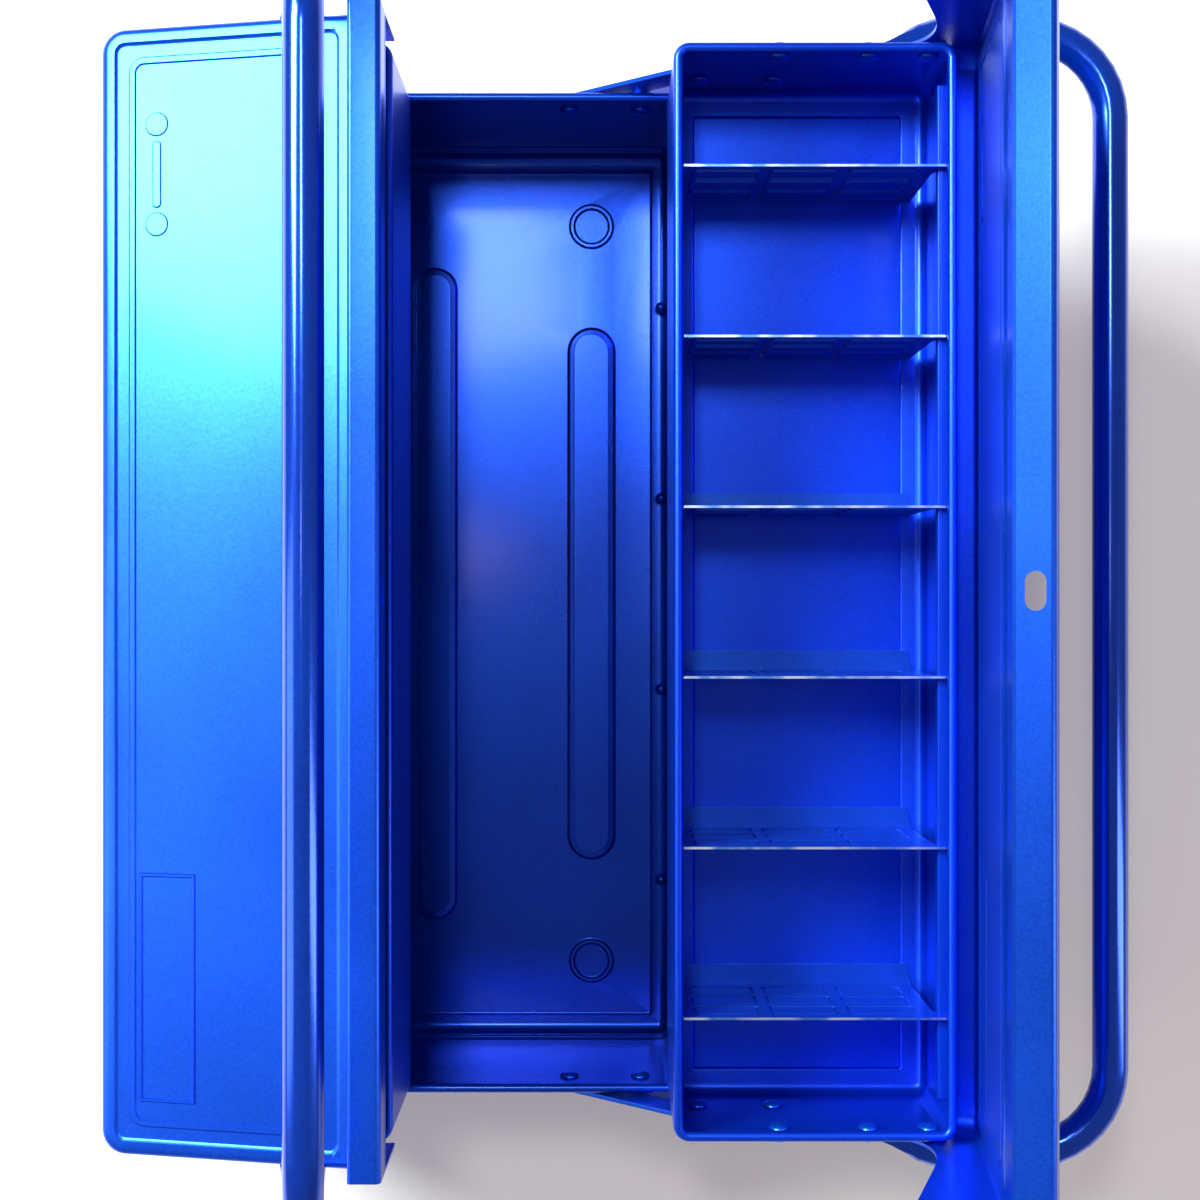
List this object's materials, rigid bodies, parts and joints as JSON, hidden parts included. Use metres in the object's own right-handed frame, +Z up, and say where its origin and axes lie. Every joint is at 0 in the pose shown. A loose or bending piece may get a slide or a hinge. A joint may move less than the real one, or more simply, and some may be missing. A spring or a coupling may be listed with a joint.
{
  "type": "toolbox with tray",
  "caption": "Cantilever steel toolbox with a deep base, lidded divided trays on swinging links and tubular folding handles, shown with one side open.",
  "frame": {"origin": "centre of the base's underside", "axes": "+Z up, +Y along the box's length, +X across it towards the side that stands open"},
  "size_m": [0.3958, 0.457, 0.2784],
  "materials": {
    "body_paint": "metallic blue stoving enamel, semi-gloss",
    "tray_paint": "metallic blue stoving enamel, semi-gloss",
    "divider_paint": "metallic blue stoving enamel, bright worn edges",
    "handle_paint": "metallic blue stoving enamel, gloss",
    "link_paint": "metallic blue stoving enamel",
    "rivet_paint": "painted steel rivet"
  },
  "bodies": {
    "base": {"base_tub": "body_paint", "link_base_rivet_left_front": "rivet_paint", "handle_base_rivet_left_front": "rivet_paint", "link_base_rivet_left_back": "rivet_paint", "handle_base_rivet_left_back": "rivet_paint", "link_base_rivet_right_front": "rivet_paint", "handle_base_rivet_right_front": "rivet_paint", "link_base_rivet_right_back": "rivet_paint", "handle_base_rivet_right_back": "rivet_paint"},
    "tray_body_left": {"tray_left": "tray_paint", "divider_left_1": "divider_paint", "divider_left_2": "divider_paint", "divider_left_3": "divider_paint", "divider_left_4": "divider_paint", "divider_left_5": "divider_paint", "divider_left_6": "divider_paint", "link_tray_rivet_left_front": "rivet_paint", "handle_tray_rivet_left_front": "rivet_paint", "lid_rivet_left_front": "rivet_paint", "strap_rivet_left_front": "rivet_paint", "strap_outer_rivet_left_front": "rivet_paint", "lid_strap_left_front": "link_paint", "link_tray_rivet_left_back": "rivet_paint", "handle_tray_rivet_left_back": "rivet_paint", "lid_rivet_left_back": "rivet_paint", "strap_rivet_left_back": "rivet_paint", "strap_outer_rivet_left_back": "rivet_paint", "lid_strap_left_back": "link_paint"},
    "lid_body_left": {"lid_left": "body_paint"},
    "handle_body_left": {"handle_left": "handle_paint"},
    "link_body_left": {"inner_link_left_front": "link_paint", "inner_link_left_back": "link_paint"},
    "tray_body_right": {"tray_right": "tray_paint", "divider_right_1": "divider_paint", "divider_right_2": "divider_paint", "divider_right_3": "divider_paint", "divider_right_4": "divider_paint", "divider_right_5": "divider_paint", "divider_right_6": "divider_paint", "link_tray_rivet_right_front": "rivet_paint", "handle_tray_rivet_right_front": "rivet_paint", "lid_rivet_right_front": "rivet_paint", "strap_rivet_right_front": "rivet_paint", "strap_outer_rivet_right_front": "rivet_paint", "lid_strap_right_front": "link_paint", "link_tray_rivet_right_back": "rivet_paint", "handle_tray_rivet_right_back": "rivet_paint", "lid_rivet_right_back": "rivet_paint", "strap_rivet_right_back": "rivet_paint", "strap_outer_rivet_right_back": "rivet_paint", "lid_strap_right_back": "link_paint"},
    "lid_body_right": {"lid_right": "body_paint"},
    "handle_body_right": {"handle_right": "handle_paint"},
    "link_body_right": {"inner_link_right_front": "link_paint", "inner_link_right_back": "link_paint"}
  },
  "joints": [
    {"name": "handle_swing_left", "type": "hinge", "parent": "base", "child": "handle_body_left", "pos_m": [-0.094, 0, 0.088], "axis": [0, -1, 0], "range_deg": [0, 96]},
    {"name": "tray_level_left", "type": "hinge", "parent": "handle_body_left", "child": "tray_body_left", "pos_m": [-0.042, 0, 0.13482], "axis": [0, -1, 0], "range_deg": [-97, 1]},
    {"name": "link_swing_left", "type": "hinge", "parent": "base", "child": "link_body_left", "pos_m": [-0.064, 0, 0.088], "axis": [0, -1, 0], "range_deg": [-1, 97]},
    {"name": "lid_hinge_left", "type": "hinge", "parent": "tray_body_left", "child": "lid_body_left", "pos_m": [-0.0985, 0, 0.168], "axis": [0, -1, 0], "range_deg": [-1, 73]},
    {"name": "handle_swing_right", "type": "hinge", "parent": "base", "child": "handle_body_right", "pos_m": [0.094, 0, 0.088], "axis": [0, -1, 0], "range_deg": [0, 96]},
    {"name": "tray_level_right", "type": "hinge", "parent": "handle_body_right", "child": "tray_body_right", "pos_m": [0.146, 0, 0.13482], "axis": [0, -1, 0], "range_deg": [-97, 1]},
    {"name": "link_swing_right", "type": "hinge", "parent": "base", "child": "link_body_right", "pos_m": [0.064, 0, 0.088], "axis": [0, -1, 0], "range_deg": [-1, 97]},
    {"name": "lid_hinge_right", "type": "hinge", "parent": "tray_body_right", "child": "lid_body_right", "pos_m": [0.2025, 0, 0.168], "axis": [0, -1, 0], "range_deg": [-1, 73]}
  ],
  "couplings": [
    {"joint": "tray_level_left", "follows": "handle_swing_left", "ratio": -1},
    {"joint": "link_swing_left", "follows": "handle_swing_left", "ratio": 1},
    {"joint": "lid_hinge_left", "follows": "handle_swing_left", "ratio": 0.75},
    {"joint": "tray_level_right", "follows": "handle_swing_right", "ratio": -1},
    {"joint": "link_swing_right", "follows": "handle_swing_right", "ratio": 1},
    {"joint": "lid_hinge_right", "follows": "handle_swing_right", "ratio": 0.75}
  ]
}
